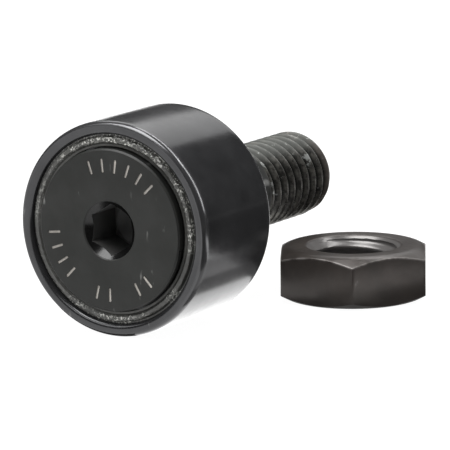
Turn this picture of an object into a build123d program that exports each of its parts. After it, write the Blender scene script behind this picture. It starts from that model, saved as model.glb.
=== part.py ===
from build123d import *
import math
import os

# Sealed stud-type cam follower (track roller), 19 mm size, with its hex nut lying beside it.
# Frame: the origin is on the stud's axis at the end plate's outer face, which is the mounting shoulder.
# +X runs along the stud to its threaded end, +Z is up, and the roller and the nut stand on FLOOR_Z.
# Turned pieces are drawn in the XZ plane as (distance along the axis, radius) and revolved about X.

os.makedirs("parts", exist_ok=True)

# Driving dimensions, in millimetres
ROLLER_D = 19.0  # running diameter at the crown
ROLLER_W = 11.0
CROWN_R = 500.0  # the running surface bulges on this radius along the axis
OVERALL_L = 32.0  # flange face to stud end
STUD_L = 20.0  # mounting face to stud end
STUD_D = 8.0
REAR_STEP = 0.6  # the roller's rear face stands this far in front of the mounting face

# Needles, which run between the stud and the roller
NEEDLE_D = 2.0
NEEDLE_L = 6.8
NEEDLE_COUNT = 13
NEEDLE_ROUND = 0.2
ORBIT_R = 6.0  # radius of the circle that the needles' centres run on
RUN_GAP = 0.01  # radial clearance of the needles on each raceway

# Thread, M8 coarse
PITCH = 1.25
THREAD_L = 11.25
CREST_W = 0.16
FLANK_TAN = math.tan(math.radians(30))
STUD_CREST_R = 3.92
STUD_ROOT_R = 3.30
NUT_CREST_R = 3.40
NUT_ROOT_R = 4.03
ROOT_OVERLAP = 0.12  # a thread ridge reaches this far into the body that it stands on
RUNOUT_L = 0.6  # cone between the plain shank and the thread's root
STUD_END_CHAMFER = 0.65

# Flange, end plate and press seat
FLANGE_R = 7.15
FLANGE_T = 1.25
PLATE_T = 1.45
EDGE_CHAMFER = 0.15
SEAT_R = 4.25
SEAT_L = 1.35

# Hex socket in the flange
SOCKET_AF = 4.0
SOCKET_DEPTH = 4.2
SOCKET_MOUTH_R = 2.65
SOCKET_DRILL_R = 1.85
SOCKET_TIP = 1.1

# Index strokes etched in the flange face: radial grooves on one circle.
# Each group is (angle of its first stroke, number of strokes), in degrees from +Z towards +Y.
STROKE_W = 0.2
STROKE_L = 1.2
STROKE_DEPTH = 0.06
STROKE_R = 5.68
STROKE_STEP = 13.0
STROKE_GROUPS = [(-46.0, 6), (96.0, 4), (167.0, 2), (-150.0, 2)]

# Roller
RACE_L = 8.0
RIB_R = 6.6  # bore of the two ribs beside the needles
RIB_T = 0.5
SEAL_BORE_R = 8.3
FRONT_ROUND = 0.45
REAR_ROUND = 0.3
BORE_ROUND = 0.45

# Seals
SEAL_LIP_R = 7.25
SEAL_RIDGE_R = 7.68
SEAL_SHOULDER_R = 8.02
SEAL_RECESS = 0.15  # the ridge stands below the roller's side face
SEAL_LIP_DROP = 0.18  # the lip stands below the ridge
SEAL_RIM_DROP = 0.35  # the outer rim stands below the ridge

# Cage
CAGE_IN_R = 5.4
CAGE_OUT_R = 6.5
CAGE_L = 7.9
POCKET_GAP = 0.03
POCKET_END_GAP = 0.05

# Nut, M8, lying flat
NUT_AF = 13.0
NUT_T = 4.75
NUT_X = 13.35
NUT_Y = -9.78
NUT_TURN = 28.6  # angle of the first corner from +X
NUT_FACE_R = 6.05  # the flat faces end here, and cones run down from them
NUT_CONE_TAN = math.tan(math.radians(28))
NUT_MOUTH_R = 4.35  # countersink of the bore at both faces
NUT_MOUTH_TAN = math.tan(math.radians(40))

# Places worked out from the driving dimensions
FLANGE_X = STUD_L - OVERALL_L
FLANGE_BACK_X = FLANGE_X + FLANGE_T
RING_REAR_X = -REAR_STEP
RING_FRONT_X = RING_REAR_X - ROLLER_W
RING_MID_X = (RING_REAR_X + RING_FRONT_X) / 2
RIB_REACH = RACE_L / 2 + RIB_T
INNER_RACE_R = ORBIT_R - NEEDLE_D / 2 - RUN_GAP
OUTER_RACE_R = ORBIT_R + NEEDLE_D / 2 + RUN_GAP
CROWN_DROP = ROLLER_W**2 / (8 * CROWN_R)
SHANK_R = STUD_D / 2
SEAT_X = SEAT_L - PLATE_T
THREAD_X = STUD_L - THREAD_L
FLOOR_Z = -ROLLER_D / 2
NUT_PLANE = Plane.XY.offset(FLOOR_Z).move(Location((NUT_X, NUT_Y, 0)))
NUT_AXIS = Axis((NUT_X, NUT_Y, FLOOR_Z), (0, 0, 1))


def corner_radius(across_flats):
    """Radius of a hexagon's corners, from its width across flats."""
    return across_flats / math.sqrt(3)


def thread_profile(depth):
    """Outline of a 60 degree thread ridge, with +x from root to crest, sunk into the body at its root."""
    half_crest = CREST_W / 2
    half_root = half_crest + FLANK_TAN * (depth + ROOT_OVERLAP)
    return [
        (-ROOT_OVERLAP, -half_root),
        (depth, -half_crest),
        (depth, half_crest),
        (-ROOT_OVERLAP, half_root),
    ]


# Stud: flange with hex socket, inner raceway, press seat, plain shank and thread.
# The thread runs on past the stud's end and is then trimmed to the end's chamfer.
with BuildPart() as stud:
    with BuildSketch(Plane.XZ):
        with BuildLine():
            Polyline(
                (FLANGE_X, 0),
                (FLANGE_X, FLANGE_R - EDGE_CHAMFER),
                (FLANGE_X + EDGE_CHAMFER, FLANGE_R),
                (FLANGE_BACK_X, FLANGE_R),
                (FLANGE_BACK_X, INNER_RACE_R),
                (-PLATE_T, INNER_RACE_R),
                (-PLATE_T, SEAT_R),
                (SEAT_X, SEAT_R),
                (SEAT_X, SHANK_R),
                (THREAD_X, SHANK_R),
                (THREAD_X + RUNOUT_L, STUD_ROOT_R),
                (STUD_L + 3 * PITCH, STUD_ROOT_R),
                (STUD_L + 3 * PITCH, 0),
                close=True,
            )
        make_face()
    revolve(axis=Axis.X)
    with BuildLine() as stud_helix:
        Helix(PITCH, THREAD_L + 2 * PITCH, STUD_ROOT_R, (THREAD_X - PITCH / 2, 0, 0), (1, 0, 0))
    helix_start = stud_helix.line @ 0
    away = Vector(0, helix_start.Y, helix_start.Z)
    with BuildSketch(Plane(origin=helix_start, x_dir=away, z_dir=stud_helix.line % 0)):
        with BuildLine():
            Polyline(thread_profile(STUD_CREST_R - STUD_ROOT_R), close=True)
        make_face()
    sweep(path=stud_helix.line, is_frenet=True)
    with BuildSketch(Plane.XZ):
        with BuildLine():
            Polyline(
                (FLANGE_X, 0),
                (FLANGE_X, FLANGE_R),
                (STUD_L - STUD_END_CHAMFER, FLANGE_R),
                (STUD_L - STUD_END_CHAMFER, STUD_CREST_R),
                (STUD_L, STUD_CREST_R - STUD_END_CHAMFER),
                (STUD_L, 0),
                close=True,
            )
        make_face()
    revolve(axis=Axis.X, mode=Mode.INTERSECT)
    with BuildSketch(Plane.YZ.offset(FLANGE_X)):
        RegularPolygon(radius=corner_radius(SOCKET_AF), side_count=6, rotation=90)
    extrude(amount=SOCKET_DEPTH, mode=Mode.SUBTRACT)
    with BuildSketch(Plane.XZ):
        with BuildLine():
            Polyline(
                (FLANGE_X, 0),
                (FLANGE_X, SOCKET_MOUTH_R),
                (FLANGE_X + SOCKET_MOUTH_R - SOCKET_DRILL_R, SOCKET_DRILL_R),
                (FLANGE_X + SOCKET_DEPTH, SOCKET_DRILL_R),
                (FLANGE_X + SOCKET_DEPTH + SOCKET_TIP, 0),
                close=True,
            )
        make_face()
    revolve(axis=Axis.X, mode=Mode.SUBTRACT)
    with BuildSketch(Plane.YZ.offset(FLANGE_X)):
        for first_angle, stroke_count in STROKE_GROUPS:
            # This plane's own x is Y and its y is Z, so an angle from +Z towards +Y counts down from 90.
            group_turn = -STROKE_STEP * (stroke_count - 1)
            with PolarLocations(STROKE_R, stroke_count, 90 - first_angle, group_turn, endpoint=True):
                SlotOverall(STROKE_L, STROKE_W)
    extrude(amount=STROKE_DEPTH, mode=Mode.SUBTRACT)
    # The same solid with its faces listed in order along the axis, so that the flange's flat face comes first
    add(Solid(Shell(stud.faces().sort_by(Axis.X))), mode=Mode.REPLACE)
stud.part.label = "stud"
export_step(stud.part, "parts/stud.step")

# Outer ring: crowned roller with a counterbore for a seal at each end and a rib at each end of the raceway
with BuildPart() as outer_ring:
    with BuildSketch(Plane.XZ):
        with BuildLine():
            ThreePointArc(
                (RING_FRONT_X, ROLLER_D / 2 - CROWN_DROP),
                (RING_MID_X, ROLLER_D / 2),
                (RING_REAR_X, ROLLER_D / 2 - CROWN_DROP),
            )
            Polyline(
                (RING_REAR_X, ROLLER_D / 2 - CROWN_DROP),
                (RING_REAR_X, SEAL_BORE_R),
                (RING_MID_X + RIB_REACH, SEAL_BORE_R),
                (RING_MID_X + RIB_REACH, RIB_R),
                (RING_MID_X + RACE_L / 2, RIB_R),
                (RING_MID_X + RACE_L / 2, OUTER_RACE_R),
                (RING_MID_X - RACE_L / 2, OUTER_RACE_R),
                (RING_MID_X - RACE_L / 2, RIB_R),
                (RING_MID_X - RIB_REACH, RIB_R),
                (RING_MID_X - RIB_REACH, SEAL_BORE_R),
                (RING_FRONT_X, SEAL_BORE_R),
                (RING_FRONT_X, ROLLER_D / 2 - CROWN_DROP),
            )
        make_face()
    revolve(axis=Axis.X)
    rims = outer_ring.edges().filter_by(GeomType.CIRCLE).group_by(Axis.X)
    fillet(rims[0].sort_by(SortBy.RADIUS)[-1], FRONT_ROUND)
    rims = outer_ring.edges().filter_by(GeomType.CIRCLE).group_by(Axis.X)
    fillet(rims[-1].sort_by(SortBy.RADIUS)[-1], REAR_ROUND)
    rims = outer_ring.edges().filter_by(GeomType.CIRCLE).group_by(Axis.X)
    fillet((rims[0] + rims[-1]).sort_by(SortBy.RADIUS)[:2], BORE_ROUND)
outer_ring.part.label = "outer_ring"
export_step(outer_ring.part, "parts/outer_ring.step")

# Seals: a ring seated in each counterbore, with a lip close round the flange or the end plate
for seal_name, side in (("front_seal", -1), ("rear_seal", 1)):
    seal_back = RING_MID_X + side * RIB_REACH
    ridge_x = RING_MID_X + side * (ROLLER_W / 2 - SEAL_RECESS)
    lip_x = ridge_x - side * SEAL_LIP_DROP
    rim_x = ridge_x - side * SEAL_RIM_DROP
    with BuildPart() as seal:
        with BuildSketch(Plane.XZ):
            with BuildLine():
                Polyline(
                    (seal_back, SEAL_LIP_R),
                    (lip_x, SEAL_LIP_R),
                    (lip_x, (SEAL_LIP_R + SEAL_RIDGE_R) / 2),
                    (ridge_x, SEAL_RIDGE_R),
                    (ridge_x, SEAL_SHOULDER_R),
                    (rim_x, (SEAL_SHOULDER_R + SEAL_BORE_R) / 2),
                    (rim_x, SEAL_BORE_R),
                    (seal_back, SEAL_BORE_R),
                    close=True,
                )
            make_face()
        revolve(axis=Axis.X)
    seal.part.label = seal_name
    export_step(seal.part, f"parts/{seal_name}.step")

# Needle cage: one ring with a pocket for each needle
with BuildPart() as needle_cage:
    with BuildSketch(Plane.YZ.offset(RING_MID_X - CAGE_L / 2)):
        Circle(CAGE_OUT_R)
        Circle(CAGE_IN_R, mode=Mode.SUBTRACT)
    extrude(amount=CAGE_L)
    with BuildSketch(Plane.YZ.offset(RING_MID_X - NEEDLE_L / 2 - POCKET_END_GAP)):
        with PolarLocations(ORBIT_R, NEEDLE_COUNT):
            Rectangle(NEEDLE_D * 1.5, NEEDLE_D + 2 * POCKET_GAP)
    extrude(amount=NEEDLE_L + 2 * POCKET_END_GAP, mode=Mode.SUBTRACT)
needle_cage.part.label = "needle_cage"
export_step(needle_cage.part, "parts/needle_cage.step")

# Needles: one in each pocket, counted from +Y towards +Z
for needle_number in range(1, NEEDLE_COUNT + 1):
    needle_name = f"needle_{needle_number:02d}"
    needle_angle = 2 * math.pi * (needle_number - 1) / NEEDLE_COUNT
    with BuildPart() as needle:
        with BuildSketch(Plane.YZ.offset(RING_MID_X - NEEDLE_L / 2)):
            with Locations((ORBIT_R * math.cos(needle_angle), ORBIT_R * math.sin(needle_angle))):
                Circle(NEEDLE_D / 2)
        extrude(amount=NEEDLE_L)
        fillet(needle.edges().filter_by(GeomType.CIRCLE), NEEDLE_ROUND)
    needle.part.label = needle_name
    export_step(needle.part, f"parts/{needle_name}.step")

# End plate: pressed on the stud's seat against the raceway's shoulder
with BuildPart() as end_plate:
    with BuildSketch(Plane.XZ):
        with BuildLine():
            Polyline(
                (-PLATE_T, SEAT_R),
                (0, SEAT_R),
                (0, FLANGE_R - EDGE_CHAMFER),
                (-EDGE_CHAMFER, FLANGE_R),
                (-PLATE_T, FLANGE_R),
                close=True,
            )
        make_face()
    revolve(axis=Axis.X)
end_plate.part.label = "end_plate"
export_step(end_plate.part, "parts/end_plate.step")

# Hex nut: the prism and its inner thread are made too long, then trimmed by one turned envelope
# that carries the faces, the outer cones and the countersinks.
with BuildPart() as hex_nut:
    with BuildSketch(NUT_PLANE.offset(-2 * PITCH)):
        RegularPolygon(radius=corner_radius(NUT_AF), side_count=6, rotation=NUT_TURN)
        Circle(NUT_ROOT_R, mode=Mode.SUBTRACT)
    extrude(amount=NUT_T + 4 * PITCH)
    with BuildLine() as nut_helix:
        Helix(PITCH, NUT_T + 2 * PITCH, NUT_ROOT_R, (NUT_X, NUT_Y, FLOOR_Z - PITCH), (0, 0, 1))
    helix_start = nut_helix.line @ 0
    towards_axis = Vector(NUT_X - helix_start.X, NUT_Y - helix_start.Y, 0)
    with BuildSketch(Plane(origin=helix_start, x_dir=towards_axis, z_dir=nut_helix.line % 0)):
        with BuildLine():
            Polyline(thread_profile(NUT_ROOT_R - NUT_CREST_R), close=True)
        make_face()
    sweep(path=nut_helix.line, is_frenet=True)
    cone_drop = NUT_CONE_TAN * (corner_radius(NUT_AF) - NUT_FACE_R)
    mouth_depth = NUT_MOUTH_TAN * (NUT_MOUTH_R - NUT_CREST_R)
    with BuildSketch(Plane(origin=NUT_AXIS.position, x_dir=(1, 0, 0), z_dir=(0, -1, 0))):
        with BuildLine():
            Polyline(
                (NUT_MOUTH_R, 0),
                (NUT_FACE_R, 0),
                (corner_radius(NUT_AF), cone_drop),
                (corner_radius(NUT_AF), NUT_T - cone_drop),
                (NUT_FACE_R, NUT_T),
                (NUT_MOUTH_R, NUT_T),
                (NUT_CREST_R, NUT_T - mouth_depth),
                (NUT_CREST_R, mouth_depth),
                close=True,
            )
        make_face()
    revolve(axis=NUT_AXIS, mode=Mode.INTERSECT)
hex_nut.part.label = "hex_nut"
export_step(hex_nut.part, "parts/hex_nut.step")

CAGE_RATIO = OUTER_RACE_R / (INNER_RACE_R + OUTER_RACE_R)
NEEDLE_RATIO = CAGE_RATIO * INNER_RACE_R / (NEEDLE_D / 2)
print(f"For each turn of the roller the cage makes {CAGE_RATIO:.6f} of a turn")
print(f"and each needle makes {NEEDLE_RATIO:.6f} turns in the cage")
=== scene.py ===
import math

import bmesh
import bpy
import numpy as np
from mathutils import Matrix, Vector


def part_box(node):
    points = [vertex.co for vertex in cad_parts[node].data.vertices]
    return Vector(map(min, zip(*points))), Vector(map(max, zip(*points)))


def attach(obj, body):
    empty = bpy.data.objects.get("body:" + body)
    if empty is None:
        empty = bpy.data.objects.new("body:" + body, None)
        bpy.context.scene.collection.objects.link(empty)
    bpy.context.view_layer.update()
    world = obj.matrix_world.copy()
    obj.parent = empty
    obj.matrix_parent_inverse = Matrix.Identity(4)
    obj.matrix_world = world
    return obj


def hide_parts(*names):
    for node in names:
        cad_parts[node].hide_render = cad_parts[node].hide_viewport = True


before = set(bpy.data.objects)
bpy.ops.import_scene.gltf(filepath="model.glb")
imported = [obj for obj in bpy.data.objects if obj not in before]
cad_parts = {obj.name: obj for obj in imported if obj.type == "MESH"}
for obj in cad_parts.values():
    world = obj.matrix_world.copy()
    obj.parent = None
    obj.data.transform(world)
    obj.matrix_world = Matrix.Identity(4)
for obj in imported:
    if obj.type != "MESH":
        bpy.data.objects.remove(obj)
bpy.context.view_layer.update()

# A sealed cam follower lying on its roller, with its hex nut beside it. Lengths are in millimetres, and MM
# turns them into metres as each mesh is made. The stud's axis is X, its flange faces -X, and +Z is up.

MM = 0.001
SEGMENTS = 360  # points round each piece: a multiple of 12, so that a hexagon's corners fall on points
ROUND_STEPS = 5  # facets in a rounded corner
SMALL_ROUND = 0.05  # rounding of an edge that is only broken
WELD = 1e-4  # points nearer than this are one point
SHARP_ANGLE = math.radians(28)  # an edge that turns more than this stays sharp


def box_mm(node):
    """A CAD node's lowest and highest corners, in millimetres."""
    low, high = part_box(node)
    return low / MM, high / MM


ring_low, ring_high = box_mm("outer_ring")
stud_low, stud_high = box_mm("stud")
plate_low, plate_high = box_mm("end_plate")
nut_low, nut_high = box_mm("hex_nut")

FLOOR_Z = ring_low.z
RING_FRONT = ring_low.x
RING_REAR = ring_high.x
RING_MID = (RING_FRONT + RING_REAR) / 2
FLANGE_X = stud_low.x
FLANGE_R = stud_high.z
PLATE_FRONT = plate_low.x

# Roller
ROLLER_R = ring_high.z
CROWN_DROP = 0.0303
CROWN_STEPS = 24
CROWN_MID = RING_MID + 0.3  # the crown's points stand back from the front corner, which is the longer one
CROWN_REACH = (RING_REAR - RING_FRONT) / 2 - 0.7
FRONT_ROUND = (0.7, 0.34)  # the front corner's rounding, along the axis and across it
FRONT_STEPS = 16
REAR_ROUND = 0.3
MOUTH_R = box_mm("front_seal")[1].z
MOUTH_ROUND = 0.45
RIB_R = 6.6
RACE_R = 7.01
RIB_REACH = 4.5  # from the roller's middle to a rib's outer side
RACE_REACH = 4.0  # from the roller's middle to a rib's inner side

# Seals
SEAL_REACH = 5.35  # from the roller's middle to the top of a seal's ridge
SEAL_BORE_R = 7.25
LIP_R = 7.465
LIP_STEP = 0.18  # how far the lip lies below the ridge
RIDGE_R = (7.68, 8.02)
RIM_R = (8.16, 8.30)
RIM_STEP = 0.35  # how far the rim lies below the ridge
UNEVEN_R = (7.5, 8.1)  # the radii between which the moulded ridge is uneven
UNEVEN_REACH = 4.8  # and how far from the roller's middle that starts
UNEVEN = 0.035
UNEVEN_ACROSS = 0.6  # the part of that unevenness which shows across the axis
UNEVEN_SEED = 7

# Stud
STUD_END = stud_high.x
FLANGE_T = 1.25
FLANGE_SKIN = 0.08  # depth of the flange's front that has the flange's finish
EDGE_CHAMFER = 0.15
EDGE_ROUND = 0.06  # rounding of both edges of the flange's chamfer
INNER_RACE_R = 4.99
SEAT_R = 4.25
SEAT_END = -0.1
SHANK_R = 4.0
THREAD_START = 8.75
PITCH = 1.25
ROWS_PER_PITCH = 25
CREST_SOFTENING = (-0.10, -0.05, 0, 0.05, 0.10)  # places that a thread's height is averaged over
CREST_R = 3.92
ROOT_R = 3.30
CREST_W = 0.16
FLANK_TAN = math.tan(math.radians(30))
RUNOUT = 0.6
END_CHAMFER = 0.65
SOCKET_AF = 4.0
SOCKET_DEPTH = 4.2
SOCKET_MOUTH_R = 2.65
SOCKET_MOUTH_ROUND = 0.04
SOCKET_DRILL_R = 1.85
SOCKET_TIP = 1.1
SOCKET_CORNER = math.radians(30)

# Dabs of pale grease on the thread: (place along X, angle from -Y towards +Z, radius)
GREASE_SPOTS = [
    (9.2, 43, 0.7),
    (9.4, 13, 0.75),
    (9.6, 2, 0.6),
    (11.1, 18, 0.8),
    (16.6, 35, 0.8),
    (16.3, 26, 0.75),
    (17.1, 46, 0.6),
]

# Index strokes etched in the flange: (angle of the first stroke from +Z towards +Y, number of strokes)
STROKE_GROUPS = [(-46, 6), (96, 4), (167, 2), (-150, 2)]
STROKE_STEP = 13
STROKE_R = 5.68
STROKE_L = 1.2
STROKE_W = 0.2
STROKE_DEPTH = 0.05
STROKE_END_STEPS = 8

# Nut
NUT_AF = 13.0
NUT_T = nut_high.z - nut_low.z
NUT_CENTRE = ((nut_low.x + nut_high.x) / 2, (nut_low.y + nut_high.y) / 2)
NUT_TURN = math.radians(28.6)
NUT_FACE_R = 6.05
NUT_SLOPE = math.tan(math.radians(28))  # the faces' domed edges
NUT_BLEND = 0.38  # half the width of the bend between a face and its domed edge
NUT_BLEND_STEPS = 8
NUT_EDGE_ROUND = 0.05  # rounding of the edge between the dome and the sides
NUT_CORNER_ROUND = 0.2
NUT_MOUTH_SLOPE = math.tan(math.radians(40))
NUT_MOUTH_R = 4.35
NUT_MOUTH_EDGE = [(0.05, -0.06), (0.012, 0.04), (0.0, 0.15)]  # (depth, distance out from the mouth's radius)
NUT_CREST_R = 3.40
NUT_ROOT_R = 4.03

# Colours are linear red, green and blue, and a gloss is two roughnesses: where a surface is glossiest and
# where it is dullest.
STUD_COLOURS = ((0.012, 0.0125, 0.0115), (0.018, 0.0185, 0.0175))
STUD_GLOSS = (0.38, 0.46)
SCUFF_TINT = (0.30, 0.30, 0.29)
WORN_ROLLER_TINT = (0.06, 0.06, 0.062)
# pale nut edges: partly wear, partly a painted highlight
NUT_EDGE_WEAR_AND_HIGHLIGHT_TINT = (0.15, 0.14, 0.135)
NUT_MOUTH_TINT = (0.088, 0.084, 0.082)
SOCKET_MOUTH_SHADE = (0.006, 0.006, 0.006)
GRIME_COLOURS = ((0.014, 0.0135, 0.012), (0.085, 0.082, 0.073))
THREAD_END_TINT = (0.115, 0.098, 0.088)
ROOT_SHADE_TINT = (0.006, 0.006, 0.005)
# pale crests: partly wear, and on the underside a painted reflection
CREST_WEAR_AND_REFLECTION_TINT = (0.13, 0.127, 0.12)
# the upper side's paler, duller patches
UPPER_SIDE_TINT = (0.046, 0.048, 0.044)
GREASE_TINT = (0.34, 0.35, 0.34)
SPECK_TINT = (0.46, 0.46, 0.43)


# ---------------------------------------------------------------- turned and threaded meshes


def rounded(corners):
    """An outline's points. Each corner is (along, radius, rounding), and the rounding is an arc's radius."""
    points = []
    count = len(corners)
    for i, (a, r, size) in enumerate(corners):
        here = Vector((a, r))
        if size <= 0:
            points.append(here)
            continue
        before = (Vector(corners[i - 1][:2]) - here).normalized()
        after = (Vector(corners[(i + 1) % count][:2]) - here).normalized()
        half = math.acos(max(-1, min(1, before.dot(after)))) / 2
        reach = size / math.tan(half)
        centre = here + (before + after).normalized() * (size / math.sin(half))
        first = here + before * reach - centre
        last = here + after * reach - centre
        sweep = math.atan2(first.x * last.y - first.y * last.x, first.dot(last))
        for k in range(ROUND_STEPS + 1):
            points.append(centre + Matrix.Rotation(sweep * k / ROUND_STEPS, 2) @ first)
    return [(p.x, p.y) for p in points]


def along_x(a, r, turn):
    """Point at this distance along the stud's axis, this radius, and this angle from +Y towards +Z."""
    return a, r * np.cos(turn), r * np.sin(turn)


def up_nut(a, r, turn):
    """Point at this height above the nut's lower face, this radius, and this angle from its first corner."""
    turn = turn + NUT_TURN
    return NUT_CENTRE[0] + r * np.cos(turn), NUT_CENTRE[1] + r * np.sin(turn), nut_low.z + a


TURNS = np.linspace(0, 2 * math.pi, SEGMENTS + 1)


def hexagon_r(across_flats, turn, corner=0.0):
    """Radius of a hexagon at each angle, with a corner at the given one."""
    sixth = math.pi / 3
    return across_flats / 2 / np.cos((turn - corner) % sixth - sixth / 2)


def weld(mesh):
    """Merges points that coincide, takes out faces with no area, and turns the faces outwards."""
    shape = bmesh.new()
    shape.from_mesh(mesh)
    bmesh.ops.remove_doubles(shape, verts=shape.verts, dist=WELD * MM)
    bmesh.ops.dissolve_degenerate(shape, edges=shape.edges, dist=WELD * MM)
    bmesh.ops.recalc_face_normals(shape, faces=shape.faces)
    shape.to_mesh(mesh)
    shape.free()
    return mesh


def mesh_from_rows(name, rows, place, closed=False):
    """A mesh through rows of (along, radius), each given at every angle or the same all round.
    A row of radius 0 closes the end. closed joins the last row to the first."""
    columns = len(TURNS)
    grid = np.zeros((len(rows), columns, 3))
    for i, (a, r) in enumerate(rows):
        a, r = np.broadcast_to(a, columns), np.broadcast_to(r, columns)
        grid[i] = np.stack(place(a, r, TURNS), axis=-1)
    pairs = [(i, i + 1) for i in range(len(rows) - 1)]
    if closed:
        pairs.append((len(rows) - 1, 0))
    faces = []
    for i, j in pairs:
        for k in range(columns - 1):
            faces.append((i * columns + k, i * columns + k + 1, j * columns + k + 1, j * columns + k))
    mesh = bpy.data.meshes.new(name)
    mesh.from_pydata((grid * MM).reshape(-1, 3).tolist(), [], faces)
    return weld(mesh)


def link_object(name, data):
    """Puts a mesh, a light or a camera in the scene."""
    item = bpy.data.objects.new(name, data)
    bpy.context.scene.collection.objects.link(item)
    return item


def add_piece(name, mesh, body, node):
    """Puts a mesh in the scene as a piece that stands for a CAD node."""
    piece = link_object(name, mesh)
    mesh.shade_smooth()
    mesh.set_sharp_from_angle(angle=SHARP_ANGLE)
    piece.modifiers.new("weighted", "WEIGHTED_NORMAL").keep_sharp = True
    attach(piece, body)
    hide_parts(node)


def thread_rows(start, end, root_r, crest_r):
    """Rows of a right-handed thread between two places on its axis. Each row follows the helix, so the crests
    are clean lines, and rows that would leave the thread are held at its ends."""
    step = PITCH / ROWS_PER_PITCH
    rows = []
    for j in range(math.ceil((end - start) / step) + ROWS_PER_PITCH + 1):
        along = start - PITCH + j * step + PITCH * TURNS / (2 * math.pi)
        height = 0.0
        for nudge in CREST_SOFTENING:
            from_crest = abs((j * step + nudge + PITCH / 2) % PITCH - PITCH / 2)
            drop = min(max((from_crest - CREST_W / 2) / FLANK_TAN, 0), abs(crest_r - root_r))
            height += (crest_r - math.copysign(drop, crest_r - root_r)) / len(CREST_SOFTENING)
        rows.append((np.clip(along, start, end), np.full_like(TURNS, height)))
    return rows


# ---------------------------------------------------------------- materials


def grey(value):
    """A grey of this brightness, as a colour."""
    return value, value, value


class Finish:
    """A node material, in its piece's own coordinates. A value is a socket, a number or a colour, and the
    methods from noise to mask return the socket that carries their result."""

    def __init__(self, name):
        self.material = bpy.data.materials.new(name)
        self.material.use_nodes = True
        self.nodes = self.material.node_tree.nodes
        self.links = self.material.node_tree.links
        self.shader = self.nodes["Principled BSDF"]
        self.place = self.nodes.new("ShaderNodeTexCoord").outputs["Object"]

    def feed(self, socket, value):
        """Links a socket to a value's socket, or sets it to a number, a vector or a colour."""
        if isinstance(value, bpy.types.NodeSocket):
            self.links.new(value, socket)
        elif socket.type == "RGBA":
            socket.default_value = (*value, 1)
        else:
            socket.default_value = value

    def noise(self, scale, detail=4.0, roughness=0.6, stretch=(1, 1, 1)):
        """A noise texture, in features per metre, stretched along an axis."""
        mapping = self.nodes.new("ShaderNodeMapping")
        self.feed(mapping.inputs["Vector"], self.place)
        self.feed(mapping.inputs["Scale"], stretch)
        texture = self.nodes.new("ShaderNodeTexNoise")
        self.feed(texture.inputs["Vector"], mapping.outputs["Vector"])
        self.feed(texture.inputs["Scale"], scale)
        self.feed(texture.inputs["Detail"], detail)
        self.feed(texture.inputs["Roughness"], roughness)
        return texture.outputs["Fac"]

    def ramp(self, source, *stops):
        """A colour ramp between two stops of (position, colour)."""
        ramp = self.nodes.new("ShaderNodeValToRGB")
        for element, (position, colour) in zip(ramp.color_ramp.elements, stops):
            element.position = position
            element.color = (*colour, 1)
        self.feed(ramp.inputs["Fac"], source)
        return ramp.outputs["Color"]

    def maths(self, operation, first, second=0.0):
        """A math node on one or two numbers."""
        node = self.nodes.new("ShaderNodeMath")
        node.operation = operation
        self.feed(node.inputs[0], first)
        self.feed(node.inputs[1], second)
        return node.outputs["Value"]

    def product(self, first, *others):
        """Numbers multiplied together."""
        for other in others:
            first = self.maths("MULTIPLY", first, other)
        return first

    def vector(self, operation, first, second=None):
        """A vector math node. Its result is a number for a length, a distance or a dot product."""
        node = self.nodes.new("ShaderNodeVectorMath")
        node.operation = operation
        self.feed(node.inputs[0], first)
        if second is not None:
            self.feed(node.inputs[1], second)
        return node.outputs["Value" if operation in ("LENGTH", "DISTANCE", "DOT_PRODUCT") else "Vector"]

    def axis_radius(self):
        """Distance from the stud's axis, in millimetres."""
        return self.vector("LENGTH", self.vector("MULTIPLY", self.place, (0, 1 / MM, 1 / MM)))

    def toward(self, *direction):
        """How far a point lies in a direction, in millimetres."""
        return self.vector("DOT_PRODUCT", self.place, Vector(direction) / MM)

    def mask(self, source, low, high):
        """0 below the low value and 1 above the high one, or the other way round when low is above high."""
        node = self.nodes.new("ShaderNodeMapRange")
        node.interpolation_type = "SMOOTHSTEP"
        self.feed(node.inputs["Value"], source)
        limits = (low, high, 0, 1) if low < high else (high, low, 1, 0)
        for socket, limit in zip(node.inputs[1:5], limits):
            self.feed(socket, limit)
        return node.outputs["Result"]

    def lay(self, name, factor, over):
        """Mixes a colour by a factor over what feeds one of the shader's sockets so far."""
        socket = self.shader.inputs[name]
        node = self.nodes.new("ShaderNodeMix")
        node.data_type = "RGBA"
        self.feed(node.inputs["Factor"], factor)
        self.feed(node.inputs[6], socket.links[0].from_socket)
        self.feed(node.inputs[7], over)
        self.feed(socket, node.outputs[2])

    def paint(self, factor, tint):
        """Lays a tint over the colour."""
        self.lay("Base Color", factor, tint)

    def polish(self, factor, rough):
        """Lays a roughness over the gloss."""
        self.lay("Roughness", factor, grey(rough))


def black_oxide(
    name, dark, light, gloss, metallic=0.6, bump=0.15, stretch=(1, 1, 1), scuffs=0.0, specular=0.5
):
    """Black-oxide steel: mottled dark metal with uneven gloss, a fine grain and pale scuffs. The other steels
    and the rubber are the same recipe in other colours."""
    finish = Finish(name)
    mottle = finish.ramp(finish.noise(320, 6), (0.35, dark), (0.68, light))
    finish.feed(finish.shader.inputs["Base Color"], mottle)
    if scuffs:
        marks = finish.mask(finish.noise(900, 3, 0.5, (0.3, 1.6, 0.5)), 0.66, 0.74)
        patches = finish.mask(finish.noise(160, 2), 0.5, 0.62)
        finish.paint(finish.product(marks, patches, scuffs), SCUFF_TINT)
    uneven = finish.ramp(finish.noise(700, 5), (0.3, grey(gloss[0])), (0.7, grey(gloss[1])))
    finish.feed(finish.shader.inputs["Roughness"], uneven)
    relief = finish.nodes.new("ShaderNodeBump")
    finish.feed(relief.inputs["Strength"], bump)
    finish.feed(relief.inputs["Distance"], 0.02 * MM)
    finish.feed(relief.inputs["Height"], finish.noise(2500, 3, 0.7, stretch))
    finish.feed(finish.shader.inputs["Normal"], relief.outputs["Normal"])
    finish.shader.inputs["Metallic"].default_value = metallic
    finish.shader.inputs["Specular IOR Level"].default_value = specular
    return finish


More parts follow.
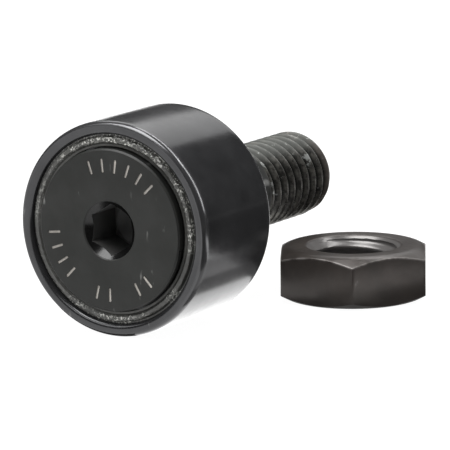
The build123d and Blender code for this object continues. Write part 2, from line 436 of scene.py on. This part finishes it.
def make_roller_steel():
    """The roller's finish: a smooth running surface, and corners worn a little paler."""
    finish = black_oxide(
        "roller_steel",
        (0.024, 0.0242, 0.0255),
        (0.034, 0.0343, 0.036),
        (0.15, 0.22),
        bump=0.05,
        stretch=(3, 0.4, 0.4),
        scuffs=0.2,
    )
    along = finish.toward(1, 0, 0)
    outer = finish.mask(finish.axis_radius(), ROLLER_R - 0.5, ROLLER_R - 0.2)
    front = finish.mask(along, RING_FRONT + 0.95, RING_FRONT + 0.6)
    rear = finish.mask(along, RING_REAR - 0.5, RING_REAR - 0.2)
    worn = finish.product(outer, finish.maths("MAXIMUM", front, rear), 0.6)
    finish.paint(worn, WORN_ROLLER_TINT)
    return finish.material


def make_stud_steel():
    """The stud's finish: dark oxide, a glossier socket mouth darkened with painted shade, and a grimy,
    greasy thread with worn crests, painted shade in its roots, a painted reflection on the underside's
    crests, and paler patches on its upper side.
    """
    finish = black_oxide("stud_steel", *STUD_COLOURS, STUD_GLOSS, bump=0.25, scuffs=0.35)
    radius = finish.axis_radius()
    along = finish.toward(1, 0, 0)

    # The socket's mouth is glossier, and darkened: painted shade in the recess
    near_face = finish.mask(along, FLANGE_X + 1, FLANGE_X + 0.9)
    near_axis = finish.mask(radius, SOCKET_MOUTH_R + 0.03, SOCKET_MOUTH_R - 0.03)
    in_mouth = finish.product(near_face, near_axis)
    finish.polish(in_mouth, 0.22)
    finish.paint(in_mouth, SOCKET_MOUTH_SHADE)

    on_thread = finish.mask(along, THREAD_START - 0.3, THREAD_START + 0.3)
    grime = finish.ramp(finish.noise(1500, 5, 0.7), (0.40, GRIME_COLOURS[0]), (0.62, GRIME_COLOURS[1]))
    finish.paint(on_thread, grime)
    at_end = finish.mask(along, STUD_END - 1.7, STUD_END - 0.5)
    finish.paint(finish.product(at_end, 0.75), THREAD_END_TINT)
    # The thread's roots are darkened: painted shade in the grooves
    root_shade = finish.mask(radius, ROOT_R + 0.42, ROOT_R + 0.1)
    finish.paint(finish.product(root_shade, on_thread), ROOT_SHADE_TINT)

    # The crests are smooth and worn pale in streaks, and the underside is smoother, with paler crests that
    # are a painted reflection of the bright table
    on_crest = finish.product(finish.mask(radius, CREST_R - 0.14, CREST_R - 0.04), on_thread)
    finish.polish(on_crest, 0.3)
    streaks = finish.mask(finish.noise(1100, 5, 0.7), 0.36, 0.62)
    under = finish.mask(finish.toward(0, -0.25, -0.97), 1.8, 3.4)
    wear_and_reflection = finish.maths("ADD", finish.product(under, 0.4), 0.5)
    finish.paint(finish.product(on_crest, streaks, wear_and_reflection), CREST_WEAR_AND_REFLECTION_TINT)
    finish.polish(under, 0.22)

    # The upper side is paler and duller in patches
    upper = finish.mask(finish.toward(0, 0.1, 0.99), 1.9, 3.2)
    upper_patches = finish.product(finish.mask(finish.noise(620, 6, 0.75), 0.26, 0.50), on_thread, upper)
    finish.paint(finish.product(upper_patches, 0.88), UPPER_SIDE_TINT)
    finish.polish(upper_patches, 0.6)

    # Grease gathers in dabs round a few spots
    near = 0.0
    for place, turn, size in GREASE_SPOTS:
        turn = math.radians(turn)
        centre = Vector((place, -CREST_R * math.cos(turn), CREST_R * math.sin(turn))) * MM
        spot = finish.mask(finish.vector("DISTANCE", finish.place, centre), size * MM, size * MM * 0.1)
        near = finish.maths("MAXIMUM", spot, near)
    dabs = finish.maths("ADD", finish.noise(2100, 4, 0.7), finish.product(near, 0.3))
    dabs = finish.product(finish.mask(dabs, 0.63, 0.76), on_thread)
    finish.paint(finish.product(dabs, 0.75), GREASE_TINT)
    return finish.material


def make_nut_steel():
    """The nut's finish: brownish oxide, a paler countersink, and pale edges where the domed faces end,
    partly wear and partly a painted highlight.
    """
    finish = black_oxide(
        "nut_steel",
        (0.022, 0.0185, 0.0165),
        (0.033, 0.0275, 0.0245),
        (0.28, 0.38),
        metallic=0.4,
        bump=0.25,
        scuffs=0.15,
        specular=0.3,
    )
    from_centre = finish.vector("SUBTRACT", finish.place, (NUT_CENTRE[0] * MM, NUT_CENTRE[1] * MM, 0))
    flat = finish.vector("MULTIPLY", from_centre, (1 / MM, 1 / MM, 0))
    radius = finish.vector("LENGTH", flat)

    # How far out a point lies towards the nearest side, and how far from the edge of the domed face
    reach = 0.0
    for k in range(3):
        turn = NUT_TURN + math.pi * (1 / 6 + k / 3)
        span = finish.vector("DOT_PRODUCT", flat, (math.cos(turn), math.sin(turn), 0))
        reach = finish.maths("MAXIMUM", finish.maths("ABSOLUTE", span), reach)
    height = finish.maths("SUBTRACT", finish.toward(0, 0, 1), nut_high.z)
    dome = finish.product(finish.maths("SUBTRACT", radius, NUT_FACE_R), NUT_SLOPE)
    from_dome = finish.maths("ABSOLUTE", finish.maths("ADD", height, dome))

    # Pale lines where the domed faces meet the sides: partly wear, partly a painted highlight along the edges
    at_side = finish.mask(reach, NUT_AF / 2 - 0.16, NUT_AF / 2 - 0.04)
    at_dome = finish.mask(from_dome, 0.16, 0.05)
    patchy = finish.mask(finish.noise(700, 3), 0.35, 0.6)
    finish.paint(finish.product(at_side, at_dome, patchy, 0.6), NUT_EDGE_WEAR_AND_HIGHLIGHT_TINT)
    in_mouth = finish.mask(radius, NUT_MOUTH_R - 0.02, NUT_MOUTH_R - 0.2)
    finish.paint(in_mouth, NUT_MOUTH_TINT)
    finish.polish(in_mouth, 0.28)
    return finish.material


def make_seal_rubber():
    """The seals' finish: dark rubber with pale specks of grease, thickest at the top and the bottom."""
    finish = black_oxide(
        "seal_rubber", (0.020, 0.020, 0.018), (0.050, 0.050, 0.045), (0.35, 0.55), metallic=0.1, bump=0.6
    )
    specks = finish.mask(finish.noise(5200, 2, 0.6), 0.52, 0.62)
    zones = finish.mask(finish.noise(300, 3, 0.5), 0.38, 0.58)
    upper = finish.mask(finish.toward(0, -0.4, 0.92), 1.0, 6.5)
    lower = finish.mask(finish.toward(0, -0.2, -0.98), 4.0, 7.5)
    thickness = finish.maths("ADD", finish.maths("MAXIMUM", upper, lower), 0.30)
    on_ridge = finish.mask(finish.axis_radius(), 7.5, 7.66)
    finish.paint(finish.product(specks, zones, thickness, on_ridge), SPECK_TINT)
    return finish.material


roller_steel = make_roller_steel()
stud_steel = make_stud_steel()
flange_steel = black_oxide(
    "flange_steel", *STUD_COLOURS, STUD_GLOSS, metallic=0.0, bump=0.25, scuffs=0.35, specular=0.15
).material
# The socket's walls are paler and more matt than the stud's oxide: painted light in the dark hole
socket_steel_painted_light = black_oxide(
    "socket_steel_painted_light", (0.026, 0.026, 0.025), (0.036, 0.036, 0.035), (0.6, 0.7), metallic=0.0
).material
nut_steel = make_nut_steel()
plate_steel = black_oxide(
    "plate_steel", (0.026, 0.0265, 0.026), (0.036, 0.0365, 0.036), (0.30, 0.45), scuffs=0.3
).material
seal_rubber = make_seal_rubber()
cage_steel = black_oxide(
    "cage_steel", (0.30, 0.29, 0.27), (0.38, 0.37, 0.34), (0.30, 0.45), metallic=1.0
).material
needle_steel = black_oxide(
    "needle_steel", grey(0.50), grey(0.58), (0.12, 0.2), metallic=1.0, bump=0.05
).material
etched_steel = black_oxide(
    "etched_steel", (0.26, 0.245, 0.225), (0.40, 0.38, 0.35), (0.6, 0.75), metallic=0.3
).material


# ---------------------------------------------------------------- roller and seals


def roller_outline():
    """The roller's section: front corner, crowned surface, rear corner, counterbores, ribs and raceway."""
    edge_r = ROLLER_R - CROWN_DROP
    outline = [(RING_FRONT, MOUTH_R, MOUTH_ROUND)]
    for k in range(FRONT_STEPS + 1):
        turn = math.pi / 2 * k / FRONT_STEPS
        along = RING_FRONT + FRONT_ROUND[0] * (1 - math.cos(turn))
        outline.append((along, edge_r - FRONT_ROUND[1] * (1 - math.sin(turn)), 0))
    for k in range(1, CROWN_STEPS):
        a = -1 + 2 * k / CROWN_STEPS
        outline.append((CROWN_MID + a * CROWN_REACH, ROLLER_R - CROWN_DROP * a * a, 0))
    outline += [
        (RING_REAR, edge_r, REAR_ROUND),
        (RING_REAR, MOUTH_R, MOUTH_ROUND),
        (RING_MID + RIB_REACH, MOUTH_R, 0),
        (RING_MID + RIB_REACH, RIB_R, SMALL_ROUND),
        (RING_MID + RACE_REACH, RIB_R, SMALL_ROUND),
        (RING_MID + RACE_REACH, RACE_R, 0),
        (RING_MID - RACE_REACH, RACE_R, 0),
        (RING_MID - RACE_REACH, RIB_R, SMALL_ROUND),
        (RING_MID - RIB_REACH, RIB_R, SMALL_ROUND),
        (RING_MID - RIB_REACH, MOUTH_R, 0),
    ]
    return rounded(outline)


def make_roller():
    """The outer ring."""
    mesh = mesh_from_rows("roller", roller_outline(), along_x, closed=True)
    mesh.materials.append(roller_steel)
    add_piece("roller_turned", mesh, "roller", "outer_ring")


def make_seal(name, side, node):
    """A seal: lip, ridge and rim, from the axis outwards. side is -1 at the flange and 1 at the end plate."""
    back = RING_MID + side * RIB_REACH
    ridge = RING_MID + side * SEAL_REACH
    lip = ridge - side * LIP_STEP
    rim = ridge - side * RIM_STEP
    rows = rounded(
        [
            (back, SEAL_BORE_R, 0),
            (lip, SEAL_BORE_R, 0.04),
            (lip, LIP_R, 0.03),
            (ridge, RIDGE_R[0], 0.05),
            (ridge, RIDGE_R[1], 0.08),
            (rim, RIM_R[0], 0.06),
            (rim, RIM_R[1], 0),
            (back, RIM_R[1], 0),
        ]
    )
    draws = np.random.default_rng(UNEVEN_SEED + side)
    for i, (a, r) in enumerate(rows):
        if UNEVEN_R[0] < r < UNEVEN_R[1] and abs(a - RING_MID) > UNEVEN_REACH:
            step = draws.normal(0, UNEVEN, SEGMENTS)
            step = (step + np.roll(step, 1)) / 2
            step = np.append(step, step[0])
            rows[i] = (a - side * np.abs(step), r + step * UNEVEN_ACROSS)
    mesh = mesh_from_rows(name, rows, along_x, closed=True)
    mesh.materials.append(seal_rubber)
    add_piece(name, mesh, "roller", node)


# ---------------------------------------------------------------- stud and end plate


def stud_rows():
    """Rows from the tip of the socket, out over the flange, and along the stud to its end."""
    hex_r = hexagon_r(SOCKET_AF, TURNS, SOCKET_CORNER)
    floor = FLANGE_X + SOCKET_DEPTH
    back = FLANGE_X + FLANGE_T
    rows = [
        (floor + SOCKET_TIP, 0),
        (floor, SOCKET_DRILL_R),
        (floor, hex_r),
        (FLANGE_X + SOCKET_MOUTH_R - hex_r, hex_r),
    ]
    rows += rounded(
        [
            (FLANGE_X + 0.1, SOCKET_MOUTH_R - 0.1, 0),
            (FLANGE_X, SOCKET_MOUTH_R, SOCKET_MOUTH_ROUND),
            (FLANGE_X, FLANGE_R - EDGE_CHAMFER, EDGE_ROUND),
            (FLANGE_X + EDGE_CHAMFER, FLANGE_R, EDGE_ROUND),
            (back, FLANGE_R, SMALL_ROUND),
            (back, INNER_RACE_R, 0),
            (PLATE_FRONT, INNER_RACE_R, 0),
            (PLATE_FRONT, SEAT_R, 0),
            (SEAT_END, SEAT_R, SMALL_ROUND),
            (SEAT_END, SHANK_R, 0),
            (THREAD_START - 0.02, SHANK_R, 0),
        ]
    )
    for along, height in thread_rows(THREAD_START, STUD_END, ROOT_R, CREST_R):
        runout = SHANK_R - (along - THREAD_START) / RUNOUT * (SHANK_R - ROOT_R)
        chamfer = CREST_R - END_CHAMFER + (STUD_END - along)
        rows.append((along, np.minimum(np.maximum(height, runout), chamfer)))
    rows += [(STUD_END, CREST_R - END_CHAMFER), (STUD_END, 0)]
    return rows


def stroke_cutters():
    """One mesh of round-ended bars that stand in the flange's face where the strokes are etched."""
    half_w = STROKE_W / 2
    half_l = STROKE_L / 2 - half_w
    outline = []
    for k in range(2 * STROKE_END_STEPS):
        angle = math.pi * (k / STROKE_END_STEPS - 0.5)
        end = half_l if k <= STROKE_END_STEPS else -half_l
        outline.append((end + half_w * math.cos(angle), half_w * math.sin(angle)))
    shape = bmesh.new()
    for first, count in STROKE_GROUPS:
        for k in range(count):
            turn = math.radians(90 - first - STROKE_STEP * k)
            out = Vector((0, math.cos(turn), math.sin(turn)))
            across = Vector((0, -math.sin(turn), math.cos(turn)))
            front, back = [], []
            for u, v in outline:
                spot = out * (STROKE_R + u) + across * v
                front.append(shape.verts.new((spot + Vector((FLANGE_X - 0.1, 0, 0))) * MM))
                back.append(shape.verts.new((spot + Vector((FLANGE_X + STROKE_DEPTH, 0, 0))) * MM))
            shape.faces.new(front)
            shape.faces.new(list(reversed(back)))
            for i in range(len(outline)):
                j = (i + 1) % len(outline)
                shape.faces.new((front[j], front[i], back[i], back[j]))
    bmesh.ops.recalc_face_normals(shape, faces=shape.faces)
    mesh = bpy.data.meshes.new("strokes")
    shape.to_mesh(mesh)
    shape.free()
    return mesh


def cut(mesh, cutter_mesh):
    """The first mesh less the second, which brings its own materials along."""
    body = link_object("cut_body", mesh)
    cutter = link_object("cutter", cutter_mesh)
    step = body.modifiers.new("cut", "BOOLEAN")
    step.operation, step.solver, step.object = "DIFFERENCE", "EXACT", cutter
    step.material_mode = "TRANSFER"
    result = bpy.data.meshes.new_from_object(body.evaluated_get(bpy.context.evaluated_depsgraph_get()))
    bpy.data.objects.remove(body)
    bpy.data.objects.remove(cutter)
    return weld(result)


def make_stud():
    """The stud, in three finishes: one for the flange's face, one for the socket, paler and matt to paint
    light into the hole, and one for the rest.
    """
    blank = mesh_from_rows("stud_blank", stud_rows(), along_x)
    for finish in (stud_steel, flange_steel, socket_steel_painted_light):
        blank.materials.append(finish)
    cone_depth = SOCKET_MOUTH_R - SOCKET_AF / 2
    for polygon in blank.polygons:
        centre = polygon.center / MM - Vector((FLANGE_X, 0, 0))
        if centre.x < FLANGE_SKIN:
            polygon.material_index = 1
        elif cone_depth < centre.x < SOCKET_DEPTH + SOCKET_TIP and centre.yz.length < SOCKET_MOUTH_R:
            polygon.material_index = 2
    cutters = stroke_cutters()
    cutters.materials.append(etched_steel)
    mesh = cut(blank, cutters)
    mesh.name = "stud_turned"
    add_piece("stud_turned", mesh, "stud_body", "stud")


def make_end_plate():
    """The rear washer, pressed on the stud."""
    rear = plate_high.x
    outline = rounded(
        [
            (PLATE_FRONT, SEAT_R, 0),
            (rear, SEAT_R, SMALL_ROUND),
            (rear, FLANGE_R - EDGE_CHAMFER, SMALL_ROUND),
            (rear - EDGE_CHAMFER, FLANGE_R, SMALL_ROUND),
            (PLATE_FRONT, FLANGE_R, SMALL_ROUND),
        ]
    )
    mesh = mesh_from_rows("end_plate_turned", outline, along_x, closed=True)
    mesh.materials.append(plate_steel)
    add_piece("end_plate_turned", mesh, "stud_body", "end_plate")


# ---------------------------------------------------------------- nut


def nut_side_r():
    """The hexagon's radius at each angle, with its six long edges rounded."""
    sharp = hexagon_r(NUT_AF, TURNS)
    corner_r = NUT_AF / math.sqrt(3)
    from_corner = (TURNS + math.pi / 6) % (math.pi / 3) - math.pi / 6
    arc_centre = corner_r - NUT_CORNER_ROUND / math.cos(math.pi / 6)
    inside = np.maximum(NUT_CORNER_ROUND**2 - (arc_centre * np.sin(from_corner)) ** 2, 0)
    arc = arc_centre * np.cos(from_corner) + np.sqrt(inside)
    return np.where(inside > 0, np.minimum(sharp, arc), sharp)


def nut_rows():
    """Rows from the lower mouth of the bore, out over the lower face, up the sides and back to the upper
    mouth, then down the threaded bore."""
    side_r = nut_side_r()
    soft = NUT_EDGE_ROUND
    outside = [(depth, NUT_MOUTH_R + out) for depth, out in NUT_MOUTH_EDGE]
    for k in range(NUT_BLEND_STEPS + 1):
        out = NUT_BLEND * (2 * k / NUT_BLEND_STEPS - 1)
        outside.append(((out + NUT_BLEND) ** 2 / (4 * NUT_BLEND) * NUT_SLOPE, NUT_FACE_R + out))
    last = NUT_FACE_R + NUT_BLEND
    for part in (0.35, 0.7):
        out = last + (side_r - soft - last) * part
        outside.append(((out - NUT_FACE_R) * NUT_SLOPE, out))
    drop = (side_r - NUT_FACE_R) * NUT_SLOPE
    outside += [
        (drop - soft * 0.4, side_r - soft),
        (drop + soft * 0.1, side_r - soft * 0.25),
        (drop + soft, side_r),
    ]
    upper = [(NUT_T - a, r) for a, r in reversed(outside)]
    lip_depth, lip_r = outside[0]
    bore = []
    for along, height in thread_rows(lip_depth, NUT_T - lip_depth, NUT_ROOT_R, NUT_CREST_R):
        lower_cone = lip_r - (along - lip_depth) / NUT_MOUTH_SLOPE
        upper_cone = lip_r - (NUT_T - lip_depth - along) / NUT_MOUTH_SLOPE
        bore.append((along, np.maximum(np.maximum(height, lower_cone), upper_cone)))
    return outside + upper + list(reversed(bore))


def make_nut():
    """The loose nut, lying flat."""
    mesh = mesh_from_rows("nut_forged", nut_rows(), up_nut, closed=True)
    mesh.materials.append(nut_steel)
    add_piece("nut_forged", mesh, "nut", "hex_nut")


make_roller()
make_seal("front_seal_lip", -1, "front_seal")
make_seal("rear_seal_lip", 1, "rear_seal")
make_stud()
make_end_plate()
make_nut()

# The needles and their cage keep their CAD shapes and get their materials here
for node_name, node_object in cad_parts.items():
    if node_name.startswith("needle"):
        node_object.data.materials.clear()
        node_object.data.materials.append(cage_steel if node_name == "needle_cage" else needle_steel)


# ---------------------------------------------------------------- floor, lights and camera

# What reflections find on the table, as (name, glow, corners), each card just above the last. The first card
# is a brighter table, which reflections alone see. The dim cards under the roller and round the nut are
# painted shadow, which reflections alone see, the band beside the roller is a dimmer strip, and the others
# stand for what a real studio has around it.
# The outline of the painted shadow under and round the nut
NUT_FOOT_R = 8.5
NUT_FOOT = [
    (NUT_CENTRE[0] + NUT_FOOT_R * math.cos(turn), NUT_CENTRE[1] + NUT_FOOT_R * math.sin(turn))
    for turn in np.linspace(0, 2 * math.pi, 24, endpoint=False).tolist()
]
CARDS = [
    ("table_glow", 2.2, [(-900, -900), (900, -900), (900, 900), (-900, 900)]),
    ("outer_band", 1.15, [(-12, -17.6), (60, -17.6), (60, -11.5), (-12, -11.5)]),
    ("inner_band", 0.42, [(-12, -11.5), (60, -11.5), (60, -8.3), (-12, -8.3)]),
    ("near_dark", 0.05, [(-900, -900), (900, -900), (900, -17.6), (-900, -17.6)]),
    ("nut_patch", 3.6, [(5, -16.8), (-2, -60), (24, -60), (19, -36), (11.5, -25), (6.8, -17.8)]),
    # Painted shadow under the roller, seen only in reflections
    ("roller_foot", 0.05, [(-12, -2), (-0.2, -2), (-0.2, 9), (-12, 9)]),
    # Painted shadow round the nut, seen only in reflections
    ("nut_foot", 0.25, NUT_FOOT),
]
CARD_LIFT = 0.02  # the first card's height above the floor
CARD_STEP = 0.01  # from each card up to the next

FLOOR_HALF = 4000
FLOOR_GREY = 0.08
FLOOR_GLOW = 0.98  # bright enough by itself that shadows on it stay pale
WORLD_GLOW = 0.08

# Soft boxes aimed at the origin, as (name, azimuth from +X towards +Y, elevation, size, power)
LIGHT_DISTANCE = 600
LIGHTS = [
    ("top_box", 140, 76, (460, 460), 9.0),
    ("back_box", 22.5, 34.5, (450, 230), 0.53),
    ("left_box", 152, 36, (560, 240), 1.7),
    ("corner_box", -14, 55, (560, 70), 1.7),
    ("fill_box", -52, 32, (120, 520), 1.9),
]

# The camera, by its azimuth from -Y towards +X, elevation and roll, its distance and the point it looks at
VIEW_AZIMUTH = math.radians(-58.51)
VIEW_ELEVATION = math.radians(10.98)
VIEW_ROLL = math.radians(-0.77)
VIEW_DISTANCE = 381.6
VIEW_TARGET = Vector((7.17, 0, -2.81))
SENSOR = 36
LENS = 338.7


def add_sheet(name, corners, height, shade, rough, glow):
    """A flat matt sheet that isn't part of the object, with a grey of its own and an even white glow."""
    mesh = bpy.data.meshes.new(name)
    mesh.from_pydata([(x * MM, y * MM, height * MM) for x, y in corners], [], [range(len(corners))])
    material = bpy.data.materials.new(name)
    material.use_nodes = True
    shader = material.node_tree.nodes["Principled BSDF"]
    shader.inputs["Base Color"].default_value = (*grey(shade), 1)
    shader.inputs["Roughness"].default_value = rough
    shader.inputs["Specular IOR Level"].default_value = 0
    shader.inputs["Emission Color"].default_value = (1, 1, 1, 1)
    shader.inputs["Emission Strength"].default_value = glow
    mesh.materials.append(material)
    sheet = link_object(name, mesh)
    return sheet


def make_floor():
    """A white light table."""
    corners = [(x * FLOOR_HALF, y * FLOOR_HALF) for x, y in ((-1, -1), (1, -1), (1, 1), (-1, 1))]
    add_sheet("floor", corners, FLOOR_Z, FLOOR_GREY, 0.9, FLOOR_GLOW)


def make_card(name, glow, corners, height):
    """A black card with a glow, which only reflections see."""
    card = add_sheet(name, corners, height, 0, 1, glow)
    card.visible_camera = False
    card.visible_diffuse = False
    card.visible_shadow = False
    card.visible_transmission = False


def make_light(name, azimuth, elevation, size, power):
    """A soft box that the camera doesn't see."""
    light = bpy.data.lights.new(name, "AREA")
    light.shape = "RECTANGLE"
    light.size, light.size_y = size[0] * MM, size[1] * MM
    light.energy = power
    lamp = link_object(name, light)
    across, up = math.radians(azimuth), math.radians(elevation)
    out = Vector((math.cos(across) * math.cos(up), math.sin(across) * math.cos(up), math.sin(up)))
    lamp.location = out * LIGHT_DISTANCE * MM
    lamp.rotation_euler = out.to_track_quat("Z", "Y").to_euler()
    lamp.visible_camera = False


def make_camera():
    """The camera, made the scene's own."""
    level = Vector((math.cos(VIEW_AZIMUTH), math.sin(VIEW_AZIMUTH), 0))
    ahead = Vector((-math.sin(VIEW_AZIMUTH), math.cos(VIEW_AZIMUTH), 0))
    back = Vector((0, 0, math.sin(VIEW_ELEVATION))) - ahead * math.cos(VIEW_ELEVATION)
    upright = back.cross(level)
    right = level * math.cos(VIEW_ROLL) + upright * math.sin(VIEW_ROLL)
    up = upright * math.cos(VIEW_ROLL) - level * math.sin(VIEW_ROLL)
    data = bpy.data.cameras.new("camera")
    data.sensor_width = SENSOR
    data.lens = LENS
    data.clip_start, data.clip_end = 0.01, 20
    camera = link_object("camera", data)
    turn = Matrix((right, up, back)).transposed().to_4x4()
    camera.matrix_world = Matrix.Translation((VIEW_TARGET + back * VIEW_DISTANCE) * MM) @ turn
    bpy.context.scene.camera = camera


def make_world():
    """An even, faint white light from all round."""
    world = bpy.data.worlds.new("studio")
    world.use_nodes = True
    background = world.node_tree.nodes["Background"]
    background.inputs["Color"].default_value = (1, 1, 1, 1)
    background.inputs["Strength"].default_value = WORLD_GLOW
    bpy.context.scene.world = world


make_floor()
make_world()
for light_row in LIGHTS:
    make_light(*light_row)
for number, card_row in enumerate(CARDS):
    make_card(*card_row, FLOOR_Z + CARD_LIFT + CARD_STEP * number)
make_camera()
bpy.context.scene.view_settings.view_transform = "Standard"
